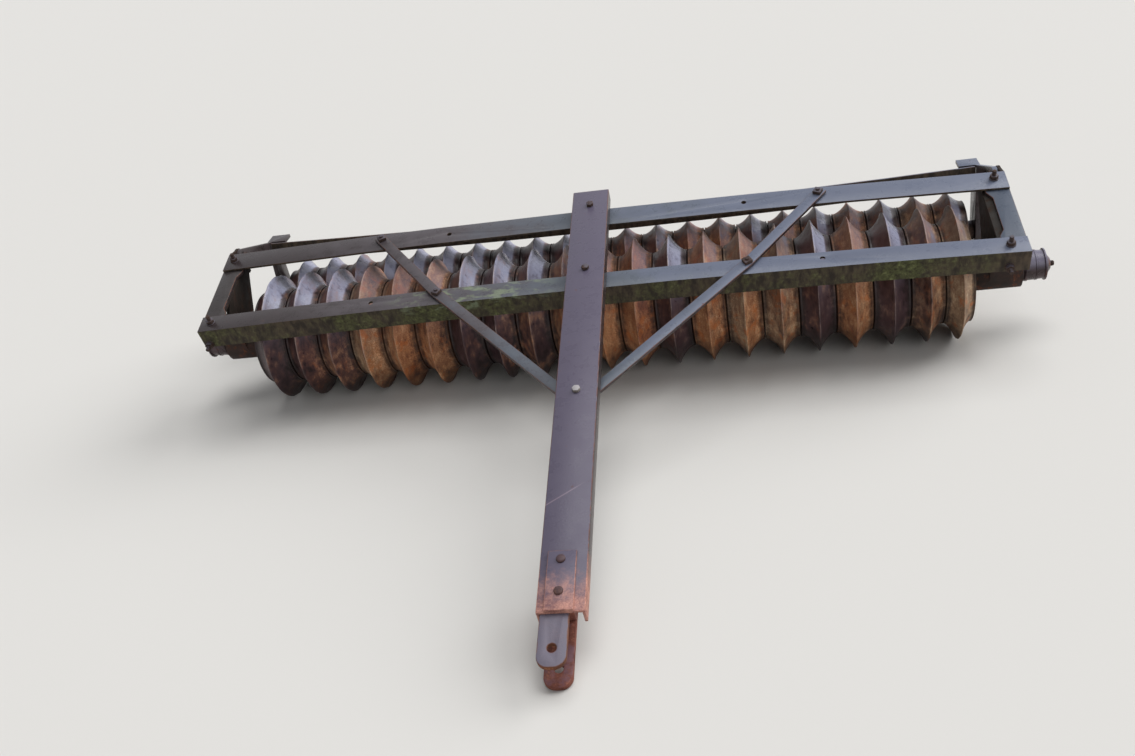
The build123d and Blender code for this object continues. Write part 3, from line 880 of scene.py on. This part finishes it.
        position = Flow(add_node(tree, "GeometryNodeInputPosition").outputs[0])
        outward, radius = position.from_axle(given["Axle"])
        crest = given["Crest Radius"]
        near_crest = radius.ramp(crest - self.nick_reach, crest, "LINEAR")
        scale = add_node(tree, "ShaderNodeMath", {0: 1.0, 1: given["Nick Size"]}, operation="DIVIDE")
        links = {"Vector": position, "Scale": scale.outputs[0], "Detail": 2.0}
        noise = Flow(add_node(tree, "ShaderNodeTexNoise", links).outputs["Fac"])
        # A nick starts where the noise is high, and is full deep where it is highest
        deep = noise.ramp(0.52, 0.78, "LINEAR") * near_crest * given["Nick Depth"]
        links = {0: outward.vectors("NORMALIZE"), "Scale": deep * -1.0}
        offset = add_node(tree, "ShaderNodeVectorMath", links, operation="SCALE").outputs[0]
        moved = add_node(tree, "GeometryNodeSetPosition", {"Geometry": wheels, "Offset": offset})
        close_tree(tree, given["Finish"], moved.outputs[0])
        return tree

    def build(self) -> None:
        """Build the gang and set it down on its body."""
        iron = CastWheelIron(f"sand_cast_iron_{self.name}", self.axle, self.radius, self.ridge).build()
        wheel = self.wheel()
        inputs = {
            "One": wheel,
            "Clocking": math.radians(self.clocking_deg),
            "Axle": tuple(self.axle),
            "Crest Radius": self.radius * MM,
            "Nick Size": self.nick_size,
            "Nick Depth": self.nick_depth,
        }
        piece = grown_object(self.tree(), self.seats(), self.name, iron, inputs)
        bpy.data.objects.remove(wheel)
        set_down(piece, self.body, Slot.CAST, self.node)


@dataclass(frozen=True)
class SoftenedSolid:
    """A solid of the frame whose sawn or rolled edges are softened."""

    node: str
    body: Body
    slot: Slot
    finish: str
    edge_mm: float
    weld: float = 2e-6
    flat_deg: float = 0.4
    sharp_deg: float = 30.0

    def build(self, finishes: dict[str, Material]) -> None:
        """Build the piece and set it down on its body.

        Args:
            finishes: Materials by name.
        """
        solid = bmesh.new()
        solid.from_mesh(frame["nodes"][self.node].data)
        bmesh.ops.remove_doubles(solid, verts=solid.verts, dist=self.weld)
        flat = math.radians(self.flat_deg)
        bmesh.ops.dissolve_limit(solid, angle_limit=flat, verts=solid.verts, edges=solid.edges)
        worn = solid.faces.layers.float.new("edge")
        rim = solid.faces.layers.float.new("rim")
        least = math.radians(self.sharp_deg)
        sharp = [e for e in solid.edges if len(e.link_faces) == 2 and e.calc_face_angle(0.0) > least]
        softened = bmesh.ops.bevel(
            solid, geom=sharp, offset=self.edge_mm * MM, offset_type="OFFSET", segments=2, profile=0.5,
            affect="EDGES", clamp_overlap=True,
        )
        for face in softened["faces"]:
            face[worn] = 1.0
        for face in solid.faces:
            face[rim] = 1.0 if face[worn] or abs(face.normal.x) > 0.7 else 0.0
        piece = finished_object(f"{self.node}_piece", close_mesh(solid, self.node), finishes[self.finish])
        set_down(piece, self.body, self.slot, self.node)


@dataclass(frozen=True)
class HubEnds:
    """The two ends of the front shaft: a turned cap with its lip and cone, and a threaded stud."""

    start: float = 1188.4
    drum: float = 1196.4
    lip: float = 1256.4
    cone: float = 1270.4
    stud: float = 1282.4
    shaft_radius: float = 22.2
    drum_radius: float = 44.0
    lip_radius: float = 45.0

    def cap_outline(self) -> Profile:
        """Draw a cap: neck, ringed drum, lip and cone.

        Returns:
            Its outline.
        """
        start, drum, lip, cone = self.start + 0.3, self.drum, self.lip, self.cone
        big, edge = self.drum_radius, self.lip_radius
        return [
            (start, 22.3), (start, 36.0), (drum, 36.0), (drum + 1, big - 2), (drum + 4, big),
            (drum + 9, big), (drum + 10.5, big - 1.8), (drum + 30, big - 2.2), (drum + 31.5, big - 0.8),
            (drum + 36, big - 1.0), (drum + 37, big - 2.8), (lip - 6.5, big - 4), (lip - 5, big - 3),
            (lip - 4.6, edge - 0.8), (lip - 4, edge), (lip - 1, edge), (lip, edge - 1),
            (lip + 0.2, 36.0), (lip + 3, 33.0), (cone - 4, 21.5), (cone - 1, 18.5), (cone, 17.0),
            (cone, 8.1), (lip - 8, 8.1), (lip - 8, 22.3),
        ]

    def stud_outline(self) -> Profile:
        """Draw the shaft with a threaded stud at each end.

        Returns:
            Its outline.
        """
        shoulder = self.lip - 8.3
        side = [(shoulder, self.shaft_radius), (shoulder, 8.0)]
        at = self.lip
        while at < self.stud - 4:
            side += [(at, 8.0), (at + 1.0, 7.1)]
            at += 2.0
        side += [(self.stud - 2, 7.6), (self.stud, 5.8), (self.stud, 0.01)]
        return [(-x, r) for x, r in reversed(side)] + side

    def build(self, iron: Material, rust: Material) -> None:
        """Build the caps and the shaft.

        Args:
            iron: Finish of the caps.
            rust: Finish of the shaft.
        """
        turned = bmesh.new()
        for side in (1, -1):
            place = TILTED.matrix() @ Matrix.Scale(side, 4, ACROSS)
            turn_profile(turned, self.cap_outline(), 64, place)
        piece = finished_object("hub_ends", close_mesh(turned, "hub_ends", 28.0), iron)
        set_down(piece, Body.FRONT_GANG, Slot.CAST, "front_hub_caps")
        bar = bmesh.new()
        turn_profile(bar, self.stud_outline(), 32, TILTED.matrix())
        piece = finished_object("front_axle", close_mesh(bar, "front_axle"), rust)
        set_down(piece, Body.FRONT_GANG, Slot.RUSTY, "front_shaft")


# Finish of the bolts that aren't rusted dark
BOLT_FINISH = {Fixing.ROUND_HEAD: "browned_bolt", Fixing.BRIGHT_HEAD: "zinc_bolt"}


@dataclass(frozen=True)
class BoltSeat:
    """One bolt: its kind, place and direction in the frame's own millimetres."""

    fixing: Fixing
    x: float
    y: float
    z: float
    way: tuple[float, float, float] = (0.0, 0.0, 1.0)
    turn_deg: float = 0.0


@dataclass(frozen=True)
class Fasteners:
    """Every bolt of one body, repeated from one of each kind."""

    name: str
    body: Body
    seats: tuple[BoltSeat, ...]

    def prism(self, solid: BMesh, sides: int, flats: float, low: float, high: float) -> None:
        """Add a chamfered prism that stands on end.

        Args:
            solid: The mesh that takes it.
            sides: Its sides.
            flats: Width across flats.
            low: Height of its underside.
            high: Height of its top.
        """
        corner = flats / 2 / math.cos(math.pi / sides)
        made = bmesh.ops.create_cone(
            solid, cap_ends=True, segments=sides, radius1=corner, radius2=corner, depth=high - low,
            matrix=Matrix.Translation((0, 0, (low + high) / 2)),
        )
        rim = list(dict.fromkeys(edge for corner in made["verts"] for edge in corner.link_edges))
        bmesh.ops.bevel(solid, geom=rim, offset=flats * 0.06, segments=2, profile=0.5, affect="EDGES")

    def turned(self, solid: BMesh, profile: Profile, segments: int) -> None:
        """Add a turned form that stands on end."""
        turn_profile(solid, profile, segments, Matrix.Rotation(-math.pi / 2, 4, "Y"))

    def bolt(self, fixing: Fixing) -> Object:
        """Build one bolt that stands on the origin.

        Args:
            fixing: Its kind.

        Returns:
            The bolt.
        """
        solid = bmesh.new()
        if fixing is Fixing.STUD_NUT:
            self.turned(solid, [(0.0, 0.01), (0.0, 13.0), (1.8, 13.0), (2.2, 12.4), (2.2, 0.01)], 24)
            self.prism(solid, 6, 21.0, 2.2, 12.5)
            thread = [(8.0, 0.01), (8.0, 5.8)]
            for pitch in range(7):
                thread += [(12.5 + 2.0 * pitch, 5.2), (13.5 + 2.0 * pitch, 6.0)]
            self.turned(solid, [*thread, (27.5, 5.0), (27.5, 0.01)], 18)
        elif fixing is Fixing.SQUARE_NUT:
            self.prism(solid, 4, 23.0, 0.0, 10.0)
            self.turned(solid, [(8.0, 0.01), (8.0, 6.0), (13.5, 6.0), (15.0, 4.6), (15.0, 0.01)], 18)
        elif fixing is Fixing.ROUND_HEAD:
            dome = [(0.0, 0.01), (0.0, 10.2), (3.0, 10.4)]
            dome += [(3.0 + 3.2 * math.sin(a), 10.4 * math.cos(a)) for a in (0.35, 0.7, 1.0, 1.25, 1.45)]
            self.turned(solid, [*dome, (6.2, 0.01)], 28)
        else:
            self.prism(solid, 6, 19.0, 0.0, 9.0)
        bmesh.ops.scale(solid, vec=(MM, MM, MM), verts=solid.verts)
        return put_in_scene(fixing.value, close_mesh(solid, fixing.value, 40.0))

    def tree(self) -> NodeTree:
        """Build the tree that sets a bolt on each point, along the point's own direction.

        Returns:
            The tree.
        """
        tree, given = open_tree("bolt_rows", {"One": "Object", "Finish": "Material"})
        aim = named_value(tree, "aim", "FLOAT_VECTOR")
        facing = add_node(tree, "FunctionNodeAlignRotationToVector", {"Vector": aim}, axis="Z")
        spin = add_node(tree, "ShaderNodeCombineXYZ", {"Z": named_value(tree, "turn")})
        links = {"Rotation": facing.outputs[0], "Rotate By": spin.outputs[0]}
        turned = add_node(tree, "FunctionNodeRotateRotation", links, rotation_space="LOCAL")
        close_tree(tree, given["Finish"], set_on_points(tree, given, {"Rotation": turned.outputs[0]}))
        return tree

    def points(self, fixing: Fixing) -> Mesh:
        """Make the seats of one kind a mesh of loose points.

        Args:
            fixing: The kind.

        Returns:
            Points with their direction and turn.
        """
        seats = [seat for seat in self.seats if seat.fixing is fixing]
        aims = [TILTED.direction(*seat.way) for seat in seats]
        columns = {"aim": aims, "turn": [math.radians(seat.turn_deg) for seat in seats]}
        places = [TILTED.point(seat.x, seat.y, seat.z) for seat in seats]
        return loose_points(f"{self.name}_{fixing.value}_seats", places, columns)

    def build(self, finishes: dict[str, Material]) -> None:
        """Build the bolts of each kind as one piece.

        Args:
            finishes: Materials by name.
        """
        for fixing in sorted({seat.fixing for seat in self.seats}, key=lambda kind: kind.value):
            bolt = self.bolt(fixing)
            name = f"{self.name}_{fixing.value}"
            steel = finishes[BOLT_FINISH.get(fixing, "rusted_bolt")]
            piece = grown_object(self.tree(), self.points(fixing), name, steel, {"One": bolt})
            bpy.data.objects.remove(bolt)
            set_down(piece, self.body, Slot.RUSTY)


@dataclass(frozen=True)
class Studio:
    """Plain pale floor, soft light and the camera at the photograph's place."""

    camera_at: tuple[float, float, float] = (0.45072, -2.64018, 1.7198)
    yaw: float = -0.1925
    pitch: float = 0.5151
    roll: float = 0.1807
    focal_px: float = 1150.0
    floor_colour: str = "#D6D4D0"
    floor_reach: float = 30.0
    floor_drop: float = 0.0005
    sky_light: float = 0.26
    backdrop: float = 0.82

    def floor(self) -> None:
        """Lay the floor."""
        mesh = bpy.data.meshes.new("studio_floor")
        corners = ((-1, -1), (1, -1), (1, 1), (-1, 1))
        places = [(self.floor_reach * x, self.floor_reach * y, -self.floor_drop) for x, y in corners]
        mesh.from_pydata(places, [], [(0, 1, 2, 3)])
        material = bpy.data.materials.new("matt_floor")
        material.use_nodes = True
        shader = material.node_tree.nodes["Principled BSDF"]
        shader.inputs["Base Color"].default_value = linear(self.floor_colour)
        shader.inputs["Roughness"].default_value = 0.9
        mesh.materials.append(material)
        put_in_scene("studio_floor", mesh)

    def light(self) -> None:
        """Set an even sky with a pale backdrop and three wide, soft lights."""
        world = bpy.data.worlds.new("studio_sky")
        bpy.context.scene.world = world
        world.use_nodes = True
        tree = world.node_tree
        path = add_node(tree, "ShaderNodeLightPath").outputs
        seen = Flow(path["Is Camera Ray"]).sums("MAXIMUM", path["Is Glossy Ray"])
        seen = seen.sums("MAXIMUM", path["Is Transmission Ray"])
        links = {"Value": seen, "To Min": self.sky_light, "To Max": self.backdrop}
        strength = add_node(tree, "ShaderNodeMapRange", links)
        background = tree.nodes["Background"]
        background.inputs["Color"].default_value = linear("#F4F6FA")
        tree.links.new(strength.outputs[0], background.inputs["Strength"])
        # Name, where it shines from, width in degrees and strength
        lamps = (
            ("right_soft_light", (6.8, 3.6, 5.6), 42.0, 2.0),
            ("overhead_soft_light", (1.1, 1.1, 8.4), 43.0, 1.4),
            ("front_soft_light", (3.0, -6.6, 4.8), 36.0, 0.43),
        )
        for name, at, width, strength in lamps:
            lamp = bpy.data.lights.new(name, "SUN")
            lamp.angle = math.radians(width)
            lamp.energy = strength
            made = put_in_scene(name, lamp)
            made.location = at
            made.rotation_euler = (-Vector(at)).to_track_quat("-Z", "Y").to_euler()

    def camera(self) -> None:
        """Set up the camera."""
        lens = bpy.data.cameras.new("camera")
        lens.sensor_fit = "HORIZONTAL"
        lens.sensor_width = SENSOR_WIDTH
        lens.lens = SENSOR_WIDTH * self.focal_px / PHOTO_WIDTH
        made = put_in_scene("camera", lens)
        turn = Matrix.Rotation(-self.yaw, 4, "Z") @ Matrix.Rotation(math.pi / 2 - self.pitch, 4, "X")
        made.matrix_world = Matrix.Translation(self.camera_at) @ turn @ Matrix.Rotation(-self.roll, 4, "Z")
        bpy.context.scene.camera = made

    def build(self) -> None:
        """Build the floor, the light and the camera."""
        self.floor()
        self.light()
        self.camera()
        bpy.context.scene.view_settings.view_transform = "Standard"


def rail_top(x: float) -> float:
    """Return the height of the bent rails' top above the front shaft."""
    bend = (FRAME_HALF**2 + RAIL_RISE**2) / (2 * RAIL_RISE)
    return FRAME_TOP + RAIL_RISE - bend + math.sqrt(bend**2 - x**2)


def frame_bolts() -> tuple[BoltSeat, ...]:
    """Place the bolts of the frame over the front gang.

    Returns:
        A seat for each bolt.
    """
    # X and Y of the studs at the rails' ends
    ends = ((-1140, 144), (-1135, -144), (1134, 146), (1121, -146))
    seats = [BoltSeat(Fixing.STUD_NUT, x, y, rail_top(x), turn_deg=x + y) for x, y in ends]
    for side in (-1, 1):
        turn = 17.0 * side
        # X and Y of a brace's bolt, and how far out the brace rests on the bent rail
        for x, y, rest_x, spin in ((650, 140, 586, turn), (437, -140, 373, -turn)):
            height = rail_top(rest_x) + BRACE_THICKNESS
            seats.append(BoltSeat(Fixing.SQUARE_NUT, side * x, y, height, turn_deg=spin))
        seats.append(BoltSeat(Fixing.HEX_HEAD, side * 1112, HALF_DEPTH, 168, (0, 1, 0), 25 + turn))
    for x, z in ((-1149, 152), (1115, 157)):
        seats.append(BoltSeat(Fixing.STUD_NUT, x, -HALF_DEPTH, z, (0, -1, 0), 10))
    for y, turn in ((148, 12), (-139, 40)):
        seats.append(BoltSeat(Fixing.HEX_HEAD, TONGUE_X, y, TONGUE_TOP, turn_deg=turn))
    seats.append(BoltSeat(Fixing.BRIGHT_HEAD, TONGUE_X, -606, TONGUE_TOP, turn_deg=25))
    for y in (-1119, -1201):
        seats.append(BoltSeat(Fixing.ROUND_HEAD, -8, y, STRAP_TOP))
        seats.append(BoltSeat(Fixing.STUD_NUT, -17, y, LOWER_EAR_BASE, (0, 0, -1), y))
    return tuple(seats)


# Rust on each wheel from left to right: 0 keeps its plum skin, 1 is bright orange all over
FRONT_RUST = (
    0.2, 0.18, 0.34, 0.8, 0.9, 0.76, 0.1, 0.12, 0.16, 0.6, 0.7,
    0.84, 0.2, 0.9, 0.76, 0.78, 0.2, 0.88, 0.2, 0.42, 1.0,
)
REAR_RUST = (
    0.1, 0.2, 0.28, 0.15, 0.34, 0.1, 0.2, 0.12, 0.22, 0.18, 0.4,
    0.66, 0.35, 0.52, 0.44, 0.3, 0.55, 0.25, 0.48, 0.3, 0.62, 0.4,
)

# Hue of that rust: 0 is brick red, 0.5 orange and 1 khaki
FRONT_HUE = (
    0.5, 0.4, 0.5, 0.66, 0.48, 0.62, 0.4, 0.4, 0.5, 0.5, 0.66,
    0.44, 0.5, 0.44, 0.62, 0.72, 0.4, 0.58, 0.4, 0.6, 0.86,
)
REAR_HUE = (
    0.3, 0.3, 0.35, 0.4, 0.3, 0.4, 0.3, 0.4, 0.3, 0.35, 0.3,
    0.25, 0.3, 0.35, 0.4, 0.3, 0.4, 0.35, 0.4, 0.4, 0.55, 0.5,
)

GANGS = (
    WheelGang(
        name="front_wheel_row", node="front_wheels", body=Body.FRONT_GANG, axle=FRONT_AXLE, left_x=-1054.8,
        pitches=(101.6,) * 19 + (92.0, 80.0), radius=190.5, ridge=50.0, bore=22.3, hollow=10.0, segments=96,
        rust_by_wheel=FRONT_RUST, hue_by_wheel=FRONT_HUE,
    ),
    WheelGang(
        name="rear_wheel_row", node="rear_wheels", body=Body.REAR_GANG, axle=REAR_AXLE, left_x=-1117.6,
        pitches=(101.6,) * 22, radius=127.0, ridge=34.0, bore=19.1, hollow=7.0, segments=80,
        rust_by_wheel=REAR_RUST, hue_by_wheel=REAR_HUE,
    ),
)

FINISHES = (
    RolledSteel("rolled_steel_front_rail", moss=0.75, lichen=True),
    RolledSteel("rolled_steel_back_rail", moss=0.2),
    RolledSteel(
        "rolled_steel_tongue", tip_rust=True, scratched=True,
        sheen_tones=("#3C3437", "#585061", "#5B5567", "#5F5A6B"),
    ),
    RolledSteel("rolled_steel_end_bar", sheen_tones=("#35302F", "#45423F", "#4A5059", "#4D5665")),
    RolledSteel("rolled_steel_plain"),
    RolledSteel(
        "cast_hanger", rust=0.45, dark_above=50.0, skin=("#221712", "#45302A"),
        sheen_tones=("#211C15", "#282219", "#2E2721", "#322A25"), dullness=0.4,
    ),
    RolledSteel(
        "turned_cap", rust=0.4, skin=("#362A2B", "#5B4A4E"),
        sheen_tones=("#463B3D", "#585059", "#6A6471", "#787486"),
    ),
    RustedSteel("rusted_plate", tones=("#3E211B", "#74453A", "#A06A54"), scale="#705058"),
    RustedSteel("rusted_ear", scale="#6B6877", sheen_share=0.85),
    RustedSteel("rusted_bolt", tones=("#231A18", "#40322D", "#644C41"), scale="#55505A", sheen_share=0.5),
    RustedSteel("browned_bolt", tones=("#2C2023", "#4E3A39", "#6E5147"), scale="#4A373C", sheen_share=0.6),
    RustedSteel("zinc_bolt", tones=("#4A403C", "#7E7670", "#9A948E"), scale="#A8A4A6", sheen_share=1.0),
)

# Body, slot, finish, softening of the edges in millimetres and nodes
SOLIDS = (
    (Body.FRAME, Slot.WEATHERED, "rolled_steel_front_rail", 1.4, "front_rail"),
    (Body.FRAME, Slot.WEATHERED, "rolled_steel_back_rail", 1.4, "back_rail"),
    (Body.FRAME, Slot.WEATHERED, "rolled_steel_end_bar", 1.4, "end_bar_left", "end_bar_right"),
    (Body.FRAME, Slot.CAST, "cast_hanger", 2.5, "end_hanger_left", "end_hanger_right"),
    (Body.FRAME, Slot.WEATHERED, "rolled_steel_tongue", 2.0, "tongue"),
    (Body.FRAME, Slot.RUSTY, "rolled_steel_tongue", 1.4, "hitch_strap"),
    (Body.FRAME, Slot.RUSTY, "rusted_ear", 2.0, "clevis_upper"),
    (Body.FRAME, Slot.RUSTY, "rusted_plate", 2.0, "clevis_lower"),
    (Body.FRAME, Slot.RUSTY, "rusted_plate", 1.4, "clevis_block"),
    (Body.FRAME, Slot.WEATHERED, "rolled_steel_plain", 1.4, "brace_left", "brace_right"),
    (Body.FRAME, Slot.WEATHERED, "cast_hanger", 1.4, "pivot_brackets"),
    (Body.FRAME, Slot.RUSTY, "rusted_bolt", 1.4, "pivot_pins"),
    (Body.FRONT_GANG, Slot.RUSTY, "rusted_bolt", 1.4, "front_collars"),
    (Body.REAR_FRAME, Slot.WEATHERED, "rolled_steel_back_rail", 1.4, "rear_rail"),
    (Body.REAR_FRAME, Slot.CAST, "rolled_steel_plain", 2.0, "rear_arm_left", "rear_arm_right"),
    (Body.REAR_GANG, Slot.RUSTY, "rusted_bolt", 1.4, "rear_collars", "rear_shaft"),
)


def main() -> None:
    """Build every piece and the studio."""
    logging.basicConfig(level=logging.INFO, format="%(name)s %(message)s")
    finishes = {finish.name: finish.build() for finish in FINISHES}
    for gang in GANGS:
        gang.build()
    for body, slot, finish, edge_mm, *nodes in SOLIDS:
        for node in nodes:
            SoftenedSolid(node, body, slot, finish, edge_mm).build(finishes)
    HubEnds().build(finishes["turned_cap"], finishes["rusted_bolt"])
    Fasteners("frame_bolts", Body.FRAME, frame_bolts()).build(finishes)
    Studio().build()


if __name__ == "__main__":
    main()
